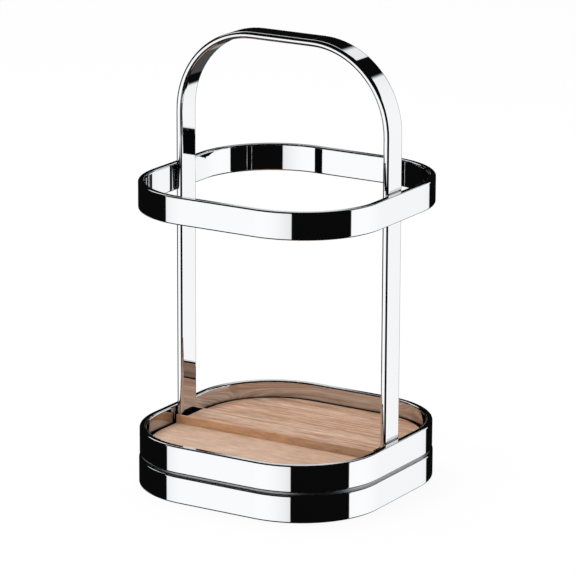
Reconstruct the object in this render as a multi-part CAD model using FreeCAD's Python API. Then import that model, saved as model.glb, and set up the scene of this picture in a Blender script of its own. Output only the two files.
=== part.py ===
"""Silverware caddy: a tall flat-bar handle, an upper ring and a two-band base round a wooden floor.

Millimetres. +Z is up, X runs from the left upright of the handle to the right one, and -Y is the
front. The origin is on the table under the middle of the caddy.
"""
import FreeCAD, Part
import math
import os

from FreeCAD import Vector

# Flat bar that the handle and all three hoops are bent from
bar_width = 16.0
bar_thickness = 4.0
hoop_edge_radius = 0.9
handle_edge_radius = 1.7

# Outline that the upper ring and the upper base band share, measured over the outside
outline_x = 150.0
outline_y = 150.0
outline_corner_radius = 50.0

# Heights above the table
ring_bottom = 163.0
handle_top = 261.2

# Base
lower_band_overhang = 0.4
foot_clearance = 0.4
plate_thickness = 1.6
plate_recess = 1.5

# Handle
handle_corner_radius = 50.5
handle_to_hoop_gap = 0.5
spacer_diameter = 9.0

# Wooden floor: a board at the front, one at the rear and a raised divider between them
board_thickness = 6.0
board_edge_gap = 1.3
board_joint_gap = 0.3
divider_rise = 5.0
divider_web = 1.2
upright_side_gap = 0.4
upright_end_gap = 3.7
wood_edge_radius = 0.45

# Feet
foot_spacing_x = 72.0
foot_spacing_y = 76.0
foot_top_diameter = 16.0
foot_bottom_diameter = 13.0
foot_web = 3.0
foot_edge_radius = 0.8
foot_recess_clearance = 0.6

# Screws that hold the feet, the plate and the floor together
divider_screw_spacing = 60.0
screw_diameter = 3.5
screw_clearance = 0.15
screw_head_diameter = 7.0
screw_head_height = 2.2
screw_slot_width = 1.0
screw_slot_depth = 1.0
screw_tip_length = 1.4
screw_tip_diameter = 0.8
wood_over_screw_tip = 1.2

# Places that follow from the sizes above
hoop_inside_x = outline_x / 2 - bar_thickness
hoop_inside_y = outline_y / 2 - bar_thickness
hoop_inside_radius = outline_corner_radius - bar_thickness
handle_outside_x = hoop_inside_x - handle_to_hoop_gap
handle_inside_x = handle_outside_x - bar_thickness
handle_front_y = -bar_width / 2
plate_bottom = foot_clearance + bar_width
plate_top = plate_bottom + plate_thickness
board_top = plate_top + board_thickness
divider_top = board_top + divider_rise
upright_cut_half_y = bar_width / 2 + upright_side_gap
divider_half_y = upright_cut_half_y + divider_web
foot_screw_head_top = plate_bottom - foot_web
screw_length = board_top - wood_over_screw_tip - foot_screw_head_top
screw_hole_diameter = screw_diameter + 2 * screw_clearance

# Two lengths nearer than this are the same
same = 1e-6


def box(x_range, y_range, z_range):
    """Box between the given limits."""
    size = [high - low for low, high in (x_range, y_range, z_range)]
    return Part.makeBox(*size, Vector(x_range[0], y_range[0], z_range[0]))


def post(diameter, bottom, top, x, y):
    """Upright cylinder between two heights."""
    return Part.makeCylinder(diameter / 2, top - bottom, Vector(x, y, bottom))


def cone(bottom_diameter, top_diameter, bottom, top, x, y):
    """Upright cone between two heights."""
    return Part.makeCone(bottom_diameter / 2, top_diameter / 2, top - bottom, Vector(x, y, bottom))


def rounded_rectangle(half_x, half_y, radius, z):
    """Closed wire of four sides and four corner arcs at height z."""
    arcs = []
    for turn, (side_x, side_y) in enumerate([(1, 1), (-1, 1), (-1, -1), (1, -1)]):
        centre = Vector(side_x * (half_x - radius), side_y * (half_y - radius), z)
        angles = [math.radians(90 * turn + part) for part in (0, 45, 90)]
        arcs.append([centre + Vector(math.cos(angle), math.sin(angle), 0) * radius for angle in angles])
    edges = [Part.Arc(*points).toShape() for points in arcs]
    for arc, next_arc in zip(arcs, arcs[1:] + arcs[:1]):
        edges.append(Part.LineSegment(arc[-1], next_arc[0]).toShape())
    return Part.Wire(Part.__sortEdges__(edges))


def rounded_slab(half_x, half_y, radius, bottom, thickness):
    """Slab with a rounded-rectangle outline."""
    outline = rounded_rectangle(half_x, half_y, radius, bottom)
    return Part.Face(outline).extrude(Vector(0, 0, thickness))


def lies_flat(edge):
    """True for an edge that stays at one height."""
    return edge.BoundBox.ZLength < same


def lies_flat_at(height):
    """Test for the edges that stay at the given height."""
    return lambda edge: lies_flat(edge) and abs(edge.BoundBox.ZMin - height) < same


def ease(shape, radius, chosen):
    """Round the edges that pass the test called chosen."""
    return shape.makeFillet(radius, [edge for edge in shape.Edges if chosen(edge)])


def hoop(bottom, overhang=0.0):
    """Closed rounded-square hoop of flat bar on edge, with its four long edges rounded."""
    outside = rounded_slab(
        outline_x / 2 + overhang,
        outline_y / 2 + overhang,
        outline_corner_radius + overhang,
        bottom,
        bar_width,
    )
    inside = rounded_slab(
        hoop_inside_x + overhang,
        hoop_inside_y + overhang,
        hoop_inside_radius + overhang,
        bottom,
        bar_width,
    )
    return ease(outside.cut(inside), hoop_edge_radius, lies_flat)


def handle_line(half_x, top, radius):
    """One side of the bent handle as edges: up, round a bend, across, round a bend and down."""
    edges = []
    high_points = []
    for side in (1, -1):
        centre = Vector(side * (half_x - radius), handle_front_y, top - radius)
        slant = radius * math.sqrt(0.5)
        foot = Vector(side * half_x, handle_front_y, plate_top)
        low = centre + Vector(side * radius, 0, 0)
        middle = centre + Vector(side * slant, 0, slant)
        high = centre + Vector(0, 0, radius)
        edges.append(Part.LineSegment(foot, low).toShape())
        edges.append(Part.Arc(low, middle, high).toShape())
        high_points.append(high)
    edges.append(Part.LineSegment(*high_points).toShape())
    return edges


def handle_strap():
    """Flat bar bent to an upside-down U that stands on the base plate inside the hoops."""
    outer = handle_line(handle_outside_x, handle_top, handle_corner_radius)
    inner = handle_line(
        handle_inside_x,
        handle_top - bar_thickness,
        handle_corner_radius - bar_thickness,
    )
    feet = []
    for side in (1, -1):
        outer_foot = Vector(side * handle_outside_x, handle_front_y, plate_top)
        inner_foot = Vector(side * handle_inside_x, handle_front_y, plate_top)
        feet.append(Part.LineSegment(outer_foot, inner_foot).toShape())
    profile = Part.Face(Part.Wire(Part.__sortEdges__(outer + inner + feet)))
    bar = profile.extrude(Vector(0, bar_width, 0))

    def runs_along_bar(edge):
        return edge.BoundBox.YLength < same and edge.BoundBox.ZMax > plate_top + same

    return ease(bar, handle_edge_radius, runs_along_bar)


def spacer(side, height):
    """Round boss that joins an upright to the hoop beside it, centred at the given height."""
    start = Vector(side * handle_outside_x, 0, height)
    return Part.makeCylinder(spacer_diameter / 2, handle_to_hoop_gap, start, Vector(side, 0, 0))


def foot_places():
    """Name, X and Y of each foot."""
    for row, side_y in (("front", -1), ("rear", 1)):
        for column, side_x in (("left", -1), ("right", 1)):
            yield f"{row}_{column}", side_x * foot_spacing_x / 2, side_y * foot_spacing_y / 2


def screw_places():
    """X, Y and the height under the head of each screw: one in each foot, two under the divider."""
    for _, x, y in foot_places():
        yield x, y, foot_screw_head_top
    for side_x in (-1, 1):
        yield side_x * divider_screw_spacing / 2, 0, plate_bottom


def drill(shape):
    """Cut the screws' clearance holes through a shape."""
    for x, y, head_top in screw_places():
        hole_top = head_top + screw_length + screw_clearance
        shape = shape.cut(post(screw_hole_diameter, head_top, hole_top, x, y))
    return shape


def base_plate():
    """Sheet between the two bands, set back from their outside, with a hole for each screw."""
    plate = rounded_slab(
        outline_x / 2 - plate_recess,
        outline_y / 2 - plate_recess,
        outline_corner_radius - plate_recess,
        plate_bottom,
        plate_thickness,
    )
    return drill(plate)


def floor_piece(y_range, top):
    """Wood on the base plate between two Y limits, as wide as the tray allows."""
    half_x = hoop_inside_x - board_edge_gap
    half_y = hoop_inside_y - board_edge_gap
    radius = hoop_inside_radius - board_edge_gap
    slab = rounded_slab(half_x, half_y, radius, plate_top, top - plate_top)
    return slab.common(box((-half_x, half_x), y_range, (plate_top, top)))


def floor_board(side_y):
    """Board that fills the front or rear of the tray up to the divider."""
    y_range = sorted((side_y * (divider_half_y + board_joint_gap), side_y * hoop_inside_y))
    board = floor_piece(y_range, board_top)
    return drill(ease(board, wood_edge_radius, lies_flat_at(board_top)))


def floor_divider():
    """Raised bar that parts the front of the tray from the rear, forked round each upright."""
    bar = floor_piece((-divider_half_y, divider_half_y), divider_top)
    fork_root = handle_inside_x - upright_end_gap
    for x_range in ((-hoop_inside_x, -fork_root), (fork_root, hoop_inside_x)):
        y_range = (-upright_cut_half_y, upright_cut_half_y)
        bar = bar.cut(box(x_range, y_range, (plate_top, divider_top)))
    return drill(ease(bar, wood_edge_radius, lies_flat_at(divider_top)))


def rubber_foot(x, y):
    """Tapered foot under the plate, hollow from below so that the screw's head is sunk in it."""
    body = cone(foot_bottom_diameter, foot_top_diameter, 0, plate_bottom, x, y)
    body = ease(body, foot_edge_radius, lies_flat_at(0))
    recess = post(screw_head_diameter + 2 * foot_recess_clearance, 0, foot_screw_head_top, x, y)
    return drill(body.cut(recess))


def wood_screw(x, y, head_top):
    """Pan-head wood screw, head down, with a slot across the head and a tapered tip."""
    head_bottom = head_top - screw_head_height
    head = post(screw_head_diameter, head_bottom, head_top, x, y)
    head = ease(head, screw_head_height / 2, lies_flat_at(head_bottom))
    slot = box(
        (x - screw_head_diameter, x + screw_head_diameter),
        (y - screw_slot_width / 2, y + screw_slot_width / 2),
        (head_bottom, head_bottom + screw_slot_depth),
    )
    tip_top = head_top + screw_length
    shank_top = tip_top - screw_tip_length
    shank = post(screw_diameter, head_top, shank_top, x, y)
    tip = cone(screw_diameter, screw_tip_diameter, shank_top, tip_top, x, y)
    return head.cut(slot).fuse([shank, tip]).removeSplitter()


def build():
    """Every sub-part by name, in the order that the caddy is put together."""
    ring_middle = ring_bottom + bar_width / 2
    base_middle = plate_top + bar_width / 2
    parts = {
        "lower_base_band": hoop(foot_clearance, lower_band_overhang),
        "base_plate": base_plate(),
        "upper_base_band": hoop(plate_top),
        "upper_ring": hoop(ring_bottom),
        "handle_strap": handle_strap(),
        "ring_spacer_left": spacer(-1, ring_middle),
        "ring_spacer_right": spacer(1, ring_middle),
        "base_spacer_left": spacer(-1, base_middle),
        "base_spacer_right": spacer(1, base_middle),
        "front_floor_board": floor_board(-1),
        "rear_floor_board": floor_board(1),
        "floor_divider": floor_divider(),
    }
    for name, x, y in foot_places():
        parts[f"rubber_foot_{name}"] = rubber_foot(x, y)
    parts["wood_screws"] = Part.makeCompound([wood_screw(*place) for place in screw_places()])
    return parts


def main():
    """Write one STEP file for each sub-part."""
    os.makedirs("parts", exist_ok=True)
    for name, shape in build().items():
        shape.exportStep(f"parts/{name}.step")
        print(f"{name}: {len(shape.Solids)} solids, {shape.Volume:.1f} mm3, valid {shape.isValid()}")


main()
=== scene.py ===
"""Looks for the silverware caddy: polished chrome bars, an oiled wooden floor, rubber feet and a studio."""
import math

import bmesh
import bpy
from bpy.props import FloatProperty, FloatVectorProperty, PointerProperty
from mathutils import Matrix, Vector


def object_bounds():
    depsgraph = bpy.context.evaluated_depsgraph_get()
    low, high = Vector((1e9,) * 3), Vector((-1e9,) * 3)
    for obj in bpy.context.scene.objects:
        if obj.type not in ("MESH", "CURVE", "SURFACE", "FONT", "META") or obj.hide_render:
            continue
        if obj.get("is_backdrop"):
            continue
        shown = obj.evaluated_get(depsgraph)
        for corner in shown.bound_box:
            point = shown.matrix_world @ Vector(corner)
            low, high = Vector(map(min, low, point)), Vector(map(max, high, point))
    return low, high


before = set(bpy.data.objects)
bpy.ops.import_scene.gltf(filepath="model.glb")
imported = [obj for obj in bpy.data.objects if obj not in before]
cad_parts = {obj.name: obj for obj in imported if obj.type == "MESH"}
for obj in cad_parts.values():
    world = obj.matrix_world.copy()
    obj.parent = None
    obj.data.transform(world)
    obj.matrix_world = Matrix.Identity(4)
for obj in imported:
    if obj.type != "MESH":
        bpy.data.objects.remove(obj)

bl_info = {
    "name": "Silverware Caddy",
    "version": (1, 0, 0),
    "blender": (4, 5, 0),
    "location": "3D View > Sidebar > Caddy",
    "description": "Finishes a chrome and wood silverware caddy and sets it in a studio",
    "category": "Object",
}

CHROME_BARS = ("handle_strap", "upper_ring", "upper_base_band", "lower_base_band")
SPACERS = ("ring_spacer_left", "ring_spacer_right", "base_spacer_left", "base_spacer_right")
FEET = (
    "rubber_foot_front_left",
    "rubber_foot_front_right",
    "rubber_foot_rear_left",
    "rubber_foot_rear_right",
)

# Faces of the CAD pieces where a colour changes, in metres from the origin
PLATE_TOP = 0.018
BOARD_TOP = 0.024
DIVIDER_HALF_WIDTH = 0.0096
FORK_HALF_WIDTH = 0.0084
FORK_ROOT = 0.0628

# Studio places and sizes in metres, and the table's share of plain white as the camera sees it
CAMERA_AIM = (0.00044, 0.00029, 0.1134)
LAMP_AIM = (0, 0, 0.08)
TABLE_RADIUS = 6
TABLE_FADE = 0.92


def linear(level):
    """Scene-linear strength of an sRGB level between 0 and 255."""
    part = level / 255
    return part / 12.92 if part <= 0.04045 else ((part + 0.055) / 1.055) ** 2.4


def paint(red, green, blue):
    """Scene-linear colour of an sRGB one given in levels between 0 and 255."""
    return tuple(linear(level) for level in (red, green, blue))


class Wire:
    """A number in a node tree. Arithmetic on it adds the Math nodes that work it out."""

    def __init__(self, graph, socket):
        self.graph = graph
        self.socket = socket

    def maths(self, operation, *values):
        inputs = dict(enumerate(values))
        return self.graph.wire("ShaderNodeMath", {"operation": operation}, inputs)

    def __add__(self, other):
        return self.maths("ADD", self, other)

    def __radd__(self, other):
        return self.maths("ADD", other, self)

    def __sub__(self, other):
        return self.maths("SUBTRACT", self, other)

    def __rsub__(self, other):
        return self.maths("SUBTRACT", other, self)

    def __mul__(self, other):
        return self.maths("MULTIPLY", self, other)

    def __rmul__(self, other):
        return self.maths("MULTIPLY", other, self)

    def __truediv__(self, other):
        return self.maths("DIVIDE", self, other)

    def __pow__(self, other):
        return self.maths("POWER", self, other)

    def __abs__(self):
        return self.maths("ABSOLUTE", self)

    def step(self, start, end):
        """0 before start, 1 after end and a smooth rise between them."""
        settings = {"interpolation_type": "SMOOTHSTEP"}
        return self.graph.wire("ShaderNodeMapRange", settings, {0: self, 1: start, 2: end})

    def between(self, low, high, blur):
        """1 between two limits and 0 outside them, with blurred limits."""
        return self.step(low - blur, low + blur) * (1 - self.step(high - blur, high + blur))


class Graph:
    """The node tree of a material or world, emptied and ready to be filled."""

    def __init__(self, owner):
        owner.use_nodes = True
        self.tree = owner.node_tree
        self.tree.nodes.clear()

    def node(self, kind, settings=None, inputs=None):
        """New node, with its settings made first and then the values or links of its sockets."""
        node = self.tree.nodes.new(kind)
        for name, value in (settings or {}).items():
            setattr(node, name, value)
        for name, value in (inputs or {}).items():
            if isinstance(value, Wire):
                self.tree.links.new(value.socket, node.inputs[name])
            elif isinstance(value, bpy.types.NodeSocket):
                self.tree.links.new(value, node.inputs[name])
            else:
                node.inputs[name].default_value = value
        return node

    def wire(self, kind, settings=None, inputs=None, output=0):
        """One output of a new node."""
        return Wire(self, self.node(kind, settings, inputs).outputs[output])

    def blend(self, share, first, second, way="MIX"):
        """Colour between two colours."""
        settings = {"data_type": "RGBA", "blend_type": way}
        inputs = {0: share, 6: first, 7: second}
        return self.wire("ShaderNodeMix", settings, inputs, 2)

    def axes(self):
        """X, Y and Z of the object's own coordinates, in metres."""
        where = self.node("ShaderNodeTexCoord").outputs["Object"]
        split = self.node("ShaderNodeSeparateXYZ", None, {0: where})
        return [Wire(self, socket) for socket in split.outputs]

    def place(self, scale):
        """Object coordinates, stretched by a scale along each axis."""
        where = self.node("ShaderNodeTexCoord").outputs["Object"]
        return self.wire("ShaderNodeMapping", None, {"Vector": where, "Scale": scale})

    def noise(self, scale, detail=4, roughness=0.5, warp=0):
        """Cloudy noise between 0 and 1, with its lumps per metre along each axis."""
        inputs = {
            "Vector": self.place(scale),
            "Scale": 1,
            "Detail": detail,
            "Roughness": roughness,
            "Distortion": warp,
        }
        return self.wire("ShaderNodeTexNoise", None, inputs)

    def bump(self, height, distance, strength=1):
        """Normal of a surface with the given relief."""
        inputs = {"Height": height, "Distance": distance, "Strength": strength}
        return self.wire("ShaderNodeBump", None, inputs)

    def surface(self, inputs):
        """Principled surface joined to the material's output."""
        shader = self.node("ShaderNodeBsdfPrincipled", None, inputs)
        self.node("ShaderNodeOutputMaterial", None, {"Surface": shader.outputs[0]})


def opaque(colour):
    """Colour with full alpha."""
    return (*colour, 1)


def finish(material, *names):
    """Give CAD nodes a material in place of the one they came with."""
    for name in names:
        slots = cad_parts[name].material_slots
        for slot in slots:
            slot.material = material


class ChromeSettings(bpy.types.PropertyGroup):
    tint: FloatVectorProperty(
        name="Tint",
        description="Colour of light that the chrome gives back",
        subtype="COLOR",
        default=(0.60, 0.605, 0.615),
        min=0,
        max=1,
    )
    haze: FloatProperty(
        name="Haze",
        description="Roughness of the polish",
        subtype="FACTOR",
        default=0.01,
        min=0,
        max=1,
    )
    wipe_marks: FloatProperty(
        name="Wipe marks",
        description="Extra roughness where a cloth has left faint marks",
        subtype="FACTOR",
        default=0.014,
        min=0,
        max=1,
    )


class PlateSettings(bpy.types.PropertyGroup):
    grey: FloatVectorProperty(
        name="Sheet",
        description="Colour of light that the dull edge of the base plate gives back",
        subtype="COLOR",
        default=(0.30, 0.30, 0.31),
        min=0,
        max=1,
    )


class WoodSettings(bpy.types.PropertyGroup):
    pale: FloatVectorProperty(
        name="Pale wood",
        description="Colour of the wood between its streaks",
        subtype="COLOR",
        default=paint(208, 176, 152),
        min=0,
        max=1,
    )
    warm: FloatVectorProperty(
        name="Warm wood",
        description="Colour of the broad bands of the grain",
        subtype="COLOR",
        default=paint(194, 152, 124),
        min=0,
        max=1,
    )
    streak: FloatVectorProperty(
        name="Streaks",
        description="Colour of the thin dark streaks of the rear board and divider",
        subtype="COLOR",
        default=paint(160, 108, 78),
        min=0,
        max=1,
    )
    # Lit copy of the wood for the divider's upright sides: warmer and darker than the top, painted bounce
    # light and painted shade for an upright face.
    riser: FloatVectorProperty(
        name="Riser",
        description="Colour of the divider's long upright sides towards the left",
        subtype="COLOR",
        default=paint(205, 157, 117),
        min=0,
        max=1,
    )
    # Darker copy of the riser colour: painted shade towards the right end of the divider's upright sides.
    riser_right_shaded: FloatVectorProperty(
        name="Riser, right",
        description="Colour of the divider's long upright sides towards the right",
        subtype="COLOR",
        default=paint(174, 140, 110),
        min=0,
        max=1,
    )
    # Near-black painted shade for the boards' sides in the gaps along the walls and for the fork ends round
    # the uprights, standing for the shadow in these gaps.
    painted_gap_shade: FloatVectorProperty(
        name="Sealed edges",
        description="Colour of the sealed edges of the boards and of the forks round the uprights",
        subtype="COLOR",
        default=paint(34, 25, 19),
        min=0,
        max=1,
    )


class RubberSettings(bpy.types.PropertyGroup):
    black: FloatVectorProperty(
        name="Rubber",
        description="Colour of the feet",
        subtype="COLOR",
        default=(0.018, 0.018, 0.019),
        min=0,
        max=1,
    )


class ScrewSettings(bpy.types.PropertyGroup):
    zinc: FloatVectorProperty(
        name="Zinc",
        description="Colour of the screws' zinc plate",
        subtype="COLOR",
        default=(0.58, 0.58, 0.60),
        min=0,
        max=1,
    )


class StudioSettings(bpy.types.PropertyGroup):
    azimuth: FloatProperty(
        name="Azimuth",
        description="Turn of the camera from the front towards the right",
        subtype="ANGLE",
        default=math.radians(31.567),
    )
    elevation: FloatProperty(
        name="Elevation",
        description="Angle of the camera above the table",
        subtype="ANGLE",
        default=math.radians(15.308),
    )
    roll: FloatProperty(
        name="Roll",
        description="Turn of the camera about its own line of sight",
        subtype="ANGLE",
        default=math.radians(0.228),
    )
    distance: FloatProperty(
        name="Distance",
        description="Distance from the camera to the point it aims at",
        subtype="DISTANCE",
        unit="LENGTH",
        default=2.1867,
        min=0.5,
    )
    lens: FloatProperty(
        name="Lens",
        description="Focal length on a 36 mm wide sensor, in millimetres",
        default=239.43,
        min=20,
    )
    room_light: FloatProperty(
        name="Room light",
        description="Even light that reaches matt surfaces from all round",
        default=0.45,
        min=0,
    )
    panel_light: FloatProperty(
        name="Panel light",
        description="Brightness of the white panels that the chrome mirrors",
        default=1.6,
        min=0,
    )


class CaddySettings(bpy.types.PropertyGroup):
    chrome: PointerProperty(type=ChromeSettings, name="Chrome")
    plate: PointerProperty(type=PlateSettings, name="Plate")
    wood: PointerProperty(type=WoodSettings, name="Wood")
    rubber: PointerProperty(type=RubberSettings, name="Rubber")
    screws: PointerProperty(type=ScrewSettings, name="Screws")
    studio: PointerProperty(type=StudioSettings, name="Studio")


class CADDY_OT_chrome(bpy.types.Operator):
    """Plate the handle, the hoops and the spacers with polished chrome"""

    bl_idname = "caddy.chrome"
    bl_label = "Chrome Bars"

    def execute(self, context):
        settings = context.scene.caddy.chrome
        material = bpy.data.materials.new("polished_chrome")
        graph = Graph(material)
        marks = graph.noise((22, 22, 60), 5, 0.6, 0.4).step(0.5, 0.8)
        hairlines = graph.noise((900, 900, 90), 3, 0.6)
        graph.surface({
            "Base Color": opaque(settings.tint),
            "Metallic": 1,
            "Roughness": settings.haze + settings.wipe_marks * marks,
            "Normal": graph.bump(hairlines, 0.0000015),
        })
        finish(material, *CHROME_BARS, *SPACERS)
        return {"FINISHED"}


class CADDY_OT_plate(bpy.types.Operator):
    """Give the base plate a dull sheet-metal edge and a near-black top, painted shade at the bottom of the
    gaps beside the boards
    """

    bl_idname = "caddy.plate"
    bl_label = "Base Plate"

    def execute(self, context):
        settings = context.scene.caddy.plate
        material = bpy.data.materials.new("dull_plate")
        graph = Graph(material)
        height = graph.axes()[2]
        stain = graph.noise((90, 90, 90), 4, 0.6)
        rolled = graph.noise((500, 500, 3000), 3, 0.6)
        # The plate's top face is coloured near-black: painted shade for the gaps between the boards and the
        # walls, where this face shows.
        top = height.step(PLATE_TOP - 0.0001, PLATE_TOP - 0.00002)
        graph.surface({
            "Base Color": graph.blend(top, opaque(settings.grey), (0.012, 0.012, 0.012, 1)),
            "Metallic": 1,
            "Roughness": 0.28 + 0.14 * stain,
            "Normal": graph.bump(rolled, 0.00001),
        })
        finish(material, "base_plate")
        return {"FINISHED"}


class CADDY_OT_wood(bpy.types.Operator):
    """Give the two floor boards and the divider an oiled, streaky grain that runs along X"""

    bl_idname = "caddy.wood"
    bl_label = "Wooden Floor"

    def wood(self, settings, name, streaks, warmth, divider):
        """Oiled wood of a board or the divider, with its share of dark streaks and warm bands."""
        material = bpy.data.materials.new(name)
        graph = Graph(material)
        x, y, z = graph.axes()
        bands = graph.noise((7, 70, 70), 3, 0.5, 0.3).step(0.35, 0.7)
        lines = graph.noise((20, 420, 420), 5, 0.6, 0.7)
        fine = graph.noise((60, 1500, 1500), 4, 0.7)
        flecks = graph.noise((110, 900, 900), 3, 0.6).step(0.56, 0.7)
        clouds = graph.noise((90, 350, 350), 4, 0.7)
        pores = graph.noise((160, 2600, 2600), 2, 0.5).step(0.62, 0.74)
        streak = lines.step(0.46, 0.62) * (0.85 + 0.15 * x.step(-0.04, 0.05)) * streaks
        warm = bands * warmth + x.step(-0.01, 0.06) * 0.6 * (1 - streaks)
        colour = graph.blend(warm, opaque(settings.pale), opaque(settings.warm))
        colour = graph.blend(streak * 0.75, colour, opaque(settings.streak))
        colour = graph.blend(flecks * (0.14 + 0.28 * streaks), colour, opaque(settings.streak))
        if divider:
            # The divider's upright sides take the lit riser copy of the wood, fading to a darker right one:
            # painted bounce light and painted shade.
            left, right = opaque(settings.riser), opaque(settings.riser_right_shaded)
            riser_light_and_shade = graph.blend(x.step(-0.01, 0.05), left, right)
            riser = abs(y).step(DIVIDER_HALF_WIDTH - 0.0005, DIVIDER_HALF_WIDTH - 0.0002)
            colour = graph.blend(riser * (0.9 - 0.4 * flecks - 0.4 * streak), colour, riser_light_and_shade)
            # The fork ends round the uprights are painted near-black: painted shade in the pockets beside
            # the uprights.
            in_fork = 1 - abs(y).step(FORK_HALF_WIDTH + 0.0002, FORK_HALF_WIDTH + 0.0004)
            dark = abs(x).step(FORK_ROOT - 0.0004, FORK_ROOT - 0.0001) * in_fork
        else:
            # The boards' sides below their top edge are painted near-black: painted shade in the gaps along
            # the walls.
            dark = 1 - z.step(BOARD_TOP - 0.0007, BOARD_TOP - 0.0004)
        shade = 1.02 + (fine - 0.5) * 0.7 + (clouds - 0.5) * 1.1 - pores * 0.14
        grey = graph.wire("ShaderNodeCombineColor", None, {0: shade, 1: shade, 2: shade})
        colour = graph.blend(1, colour, grey, "MULTIPLY")
        # Painted shade: near-black over the boards' sides and the fork ends.
        colour = graph.blend(dark, colour, opaque(settings.painted_gap_shade))
        relief = fine * 0.5 - pores - streak * 0.4
        graph.surface({
            "Base Color": colour,
            "Roughness": 0.46 + 0.12 * fine + 0.06 * streak,
            "Normal": graph.bump(relief, 0.00006),
        })
        return material

    def execute(self, context):
        settings = context.scene.caddy.wood
        finish(self.wood(settings, "streaky_wood", 1.0, 0.8, False), "rear_floor_board")
        finish(self.wood(settings, "divider_wood", 1.0, 0.8, True), "floor_divider")
        finish(self.wood(settings, "plain_wood", 0.12, 0.15, False), "front_floor_board")
        return {"FINISHED"}


class CADDY_OT_feet(bpy.types.Operator):
    """Give the four feet a matt moulded rubber"""

    bl_idname = "caddy.feet"
    bl_label = "Rubber Feet"

    def execute(self, context):
        settings = context.scene.caddy.rubber
        material = bpy.data.materials.new("moulded_rubber")
        graph = Graph(material)
        grain = graph.noise((2400, 2400, 2400), 3, 0.6)
        dust = graph.noise((120, 120, 120), 4, 0.6).step(0.5, 0.8)
        graph.surface({
            "Base Color": graph.blend(dust * 0.35, opaque(settings.black), (0.07, 0.068, 0.065, 1)),
            "Roughness": 0.62 + 0.2 * dust,
            "Normal": graph.bump(grain, 0.00005),
        })
        finish(material, *FEET)
        return {"FINISHED"}


class CADDY_OT_screws(bpy.types.Operator):
    """Give the wood screws a brushed zinc plate"""

    bl_idname = "caddy.screws"
    bl_label = "Wood Screws"

    def execute(self, context):
        settings = context.scene.caddy.screws
        material = bpy.data.materials.new("zinc_plate")
        graph = Graph(material)
        bloom = graph.noise((700, 700, 700), 4, 0.6)
        turned = graph.noise((300, 300, 9000), 2, 0.5)
        graph.surface({
            "Base Color": graph.blend(bloom, opaque(settings.zinc), (0.72, 0.70, 0.62, 1)),
            "Metallic": 1,
            "Roughness": 0.28 + 0.2 * bloom,
            "Normal": graph.bump(turned, 0.00002),
        })
        finish(material, "wood_screws")
        return {"FINISHED"}


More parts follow.
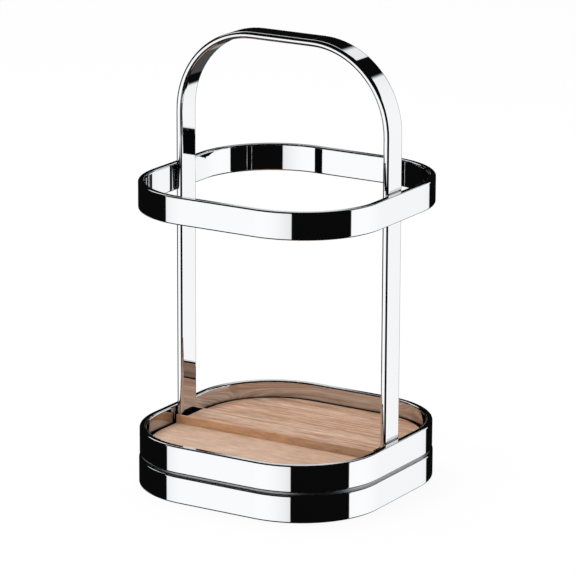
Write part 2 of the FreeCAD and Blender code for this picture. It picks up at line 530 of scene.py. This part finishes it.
class CADDY_OT_studio(bpy.types.Operator):
    """Set the caddy on a pale table in a studio with white panels, lamps and a camera"""

    bl_idname = "caddy.studio"
    bl_label = "Studio"

    def table(self):
        """Round pale table top that fades into the background."""
        mesh = bpy.data.meshes.new("table_top")
        shape = bmesh.new()
        bmesh.ops.create_circle(shape, cap_ends=True, segments=96, radius=TABLE_RADIUS)
        shape.to_mesh(mesh)
        shape.free()
        table = bpy.data.objects.new("table_top", mesh)
        bpy.context.scene.collection.objects.link(table)
        material = bpy.data.materials.new("pale_table")
        graph = Graph(material)
        weave = graph.noise((400, 400, 400), 3, 0.6)
        matt = graph.node("ShaderNodeBsdfDiffuse", None, {
            "Color": (0.90, 0.90, 0.90, 1),
            "Normal": graph.bump(weave, 0.00002),
        })
        glow = graph.node("ShaderNodeEmission", None, {"Color": (1, 1, 1, 1), "Strength": 1})
        seen = graph.node("ShaderNodeLightPath").outputs["Is Camera Ray"]
        mixed = graph.node("ShaderNodeMixShader", None, {
            0: Wire(graph, seen) * TABLE_FADE,
            1: matt.outputs[0],
            2: glow.outputs[0],
        })
        graph.node("ShaderNodeOutputMaterial", None, {"Surface": mixed.outputs[0]})
        mesh.materials.append(material)
        table.visible_glossy = False
        table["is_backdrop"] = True

    def lamp(self, name, azimuth, elevation, distance, size, power):
        """Square soft lamp that looks at the caddy and doesn't show in its chrome."""
        light = bpy.data.lights.new(name, "AREA")
        light.shape = "SQUARE"
        light.size = size
        light.energy = power
        lamp = bpy.data.objects.new(name, light)
        bpy.context.scene.collection.objects.link(lamp)
        turn, rise = math.radians(azimuth), math.radians(elevation)
        level = math.cos(rise)
        away = Vector((math.cos(turn) * level, math.sin(turn) * level, math.sin(rise)))
        spin = away.to_track_quat("Z", "Y").to_matrix().to_4x4()
        lamp.matrix_world = Matrix.Translation(Vector(LAMP_AIM) + away * distance) @ spin
        lamp.visible_glossy = False
        lamp.visible_camera = False

    def room(self, settings):
        """White background, even light for matt surfaces and panels for the chrome to mirror."""
        world = bpy.data.worlds.new("studio_room")
        bpy.context.scene.world = world
        graph = Graph(world)
        towards = graph.node("ShaderNodeTexCoord").outputs["Generated"]
        split = graph.node("ShaderNodeSeparateXYZ", None, {0: towards})
        x, y, z = (Wire(graph, socket) for socket in split.outputs)
        azimuth = x.maths("ARCTAN2", y, x) * (180 / math.pi)
        elevation = z.maths("ARCSINE", z) * (180 / math.pi)

        # Each panel is a patch of directions in degrees. Azimuth 0 is +X and -90 is the front.
        front_panel = azimuth.between(-143, -72, 0.8) * elevation.between(-24, 2, 1)
        front_panel = front_panel * (1 - 0.16 * (abs(azimuth + 111) / 36) ** 2)
        right_panel = azimuth.between(7.5, 75, 0.8) * elevation.between(-29, 27, 1)
        right_panel = right_panel * (1 - 0.14 * (abs(azimuth - 25) / 46) ** 2)
        overhead = elevation.between(30, 48, 1) * azimuth.step(89, 90) * 0.8
        slit = azimuth.between(120.6, 122.6, 0.3) * elevation.between(13.2, 19, 0.5) * 0.6
        behind = azimuth.between(80, 180, 1)
        under = azimuth.step(107, 109) * elevation.between(-28, -21, 0.7) * 0.2
        under = under + behind * elevation.between(-36, -28, 0.7) * 0.056
        under = under + behind * elevation.between(-60, -36, 0.7) * 0.03
        panels = front_panel + right_panel + overhead + slit + under + 0.003

        paths = graph.node("ShaderNodeLightPath")
        seen = Wire(graph, paths.outputs["Is Camera Ray"])
        mirrored = Wire(graph, paths.outputs["Is Glossy Ray"])
        lit = panels * settings.panel_light + (1 - mirrored) * settings.room_light
        level = seen + (1 - seen) * lit
        glow = graph.node("ShaderNodeBackground", None, {"Color": (1, 1, 1, 1), "Strength": level})
        graph.node("ShaderNodeOutputWorld", None, {"Surface": glow.outputs[0]})

    def camera(self, settings):
        """Camera that looks at the caddy from the photograph's place."""
        data = bpy.data.cameras.new("studio_camera")
        data.sensor_width = 36
        data.lens = settings.lens
        data.clip_end = 50
        camera = bpy.data.objects.new("studio_camera", data)
        bpy.context.scene.collection.objects.link(camera)
        level = math.cos(settings.elevation)
        back = Vector((
            math.sin(settings.azimuth) * level,
            -math.cos(settings.azimuth) * level,
            math.sin(settings.elevation),
        ))
        aim = Vector(CAMERA_AIM)
        turn = back.to_track_quat("Z", "Y").to_matrix().to_4x4()
        roll = Matrix.Rotation(settings.roll, 4, "Z")
        camera.matrix_world = Matrix.Translation(aim + back * settings.distance) @ turn @ roll
        bpy.context.scene.camera = camera

    def execute(self, context):
        settings = context.scene.caddy.studio
        self.table()
        self.room(settings)
        self.lamp("top_lamp", 160, 72, 1.6, 1.4, 17)
        self.lamp("front_lamp", -120, 30, 1.8, 1, 10)
        self.camera(settings)
        context.scene.view_settings.view_transform = "Standard"
        return {"FINISHED"}


class CADDY_PT_sidebar(bpy.types.Panel):
    """Lists the caddy's operators with their settings"""

    bl_idname = "CADDY_PT_sidebar"
    bl_label = "Silverware Caddy"
    bl_space_type = "VIEW_3D"
    bl_region_type = "UI"
    bl_category = "Caddy"

    def draw(self, context):
        settings = context.scene.caddy
        for operator, group in STEPS:
            box = self.layout.box()
            box.operator(operator.bl_idname)
            values = getattr(settings, group)
            for name in values.__annotations__:
                box.prop(values, name)


STEPS = (
    (CADDY_OT_chrome, "chrome"),
    (CADDY_OT_plate, "plate"),
    (CADDY_OT_wood, "wood"),
    (CADDY_OT_feet, "rubber"),
    (CADDY_OT_screws, "screws"),
    (CADDY_OT_studio, "studio"),
)
CLASSES = (
    ChromeSettings,
    PlateSettings,
    WoodSettings,
    RubberSettings,
    ScrewSettings,
    StudioSettings,
    CaddySettings,
    *(operator for operator, _ in STEPS),
    CADDY_PT_sidebar,
)


def register():
    for made in CLASSES:
        bpy.utils.register_class(made)
    bpy.types.Scene.caddy = PointerProperty(type=CaddySettings)


def unregister():
    del bpy.types.Scene.caddy
    for made in reversed(CLASSES):
        bpy.utils.unregister_class(made)


def bounds():
    """The object's lowest and highest corners as plain lists."""
    bpy.context.view_layer.update()
    return [list(corner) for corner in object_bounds()]


def main():
    cad_box = bounds()
    register()
    for name in ("chrome", "plate", "wood", "feet", "screws", "studio"):
        getattr(bpy.ops.caddy, name)()
    {"cad": cad_box, "visual": bounds()}


if __name__ == "__main__":
    main()
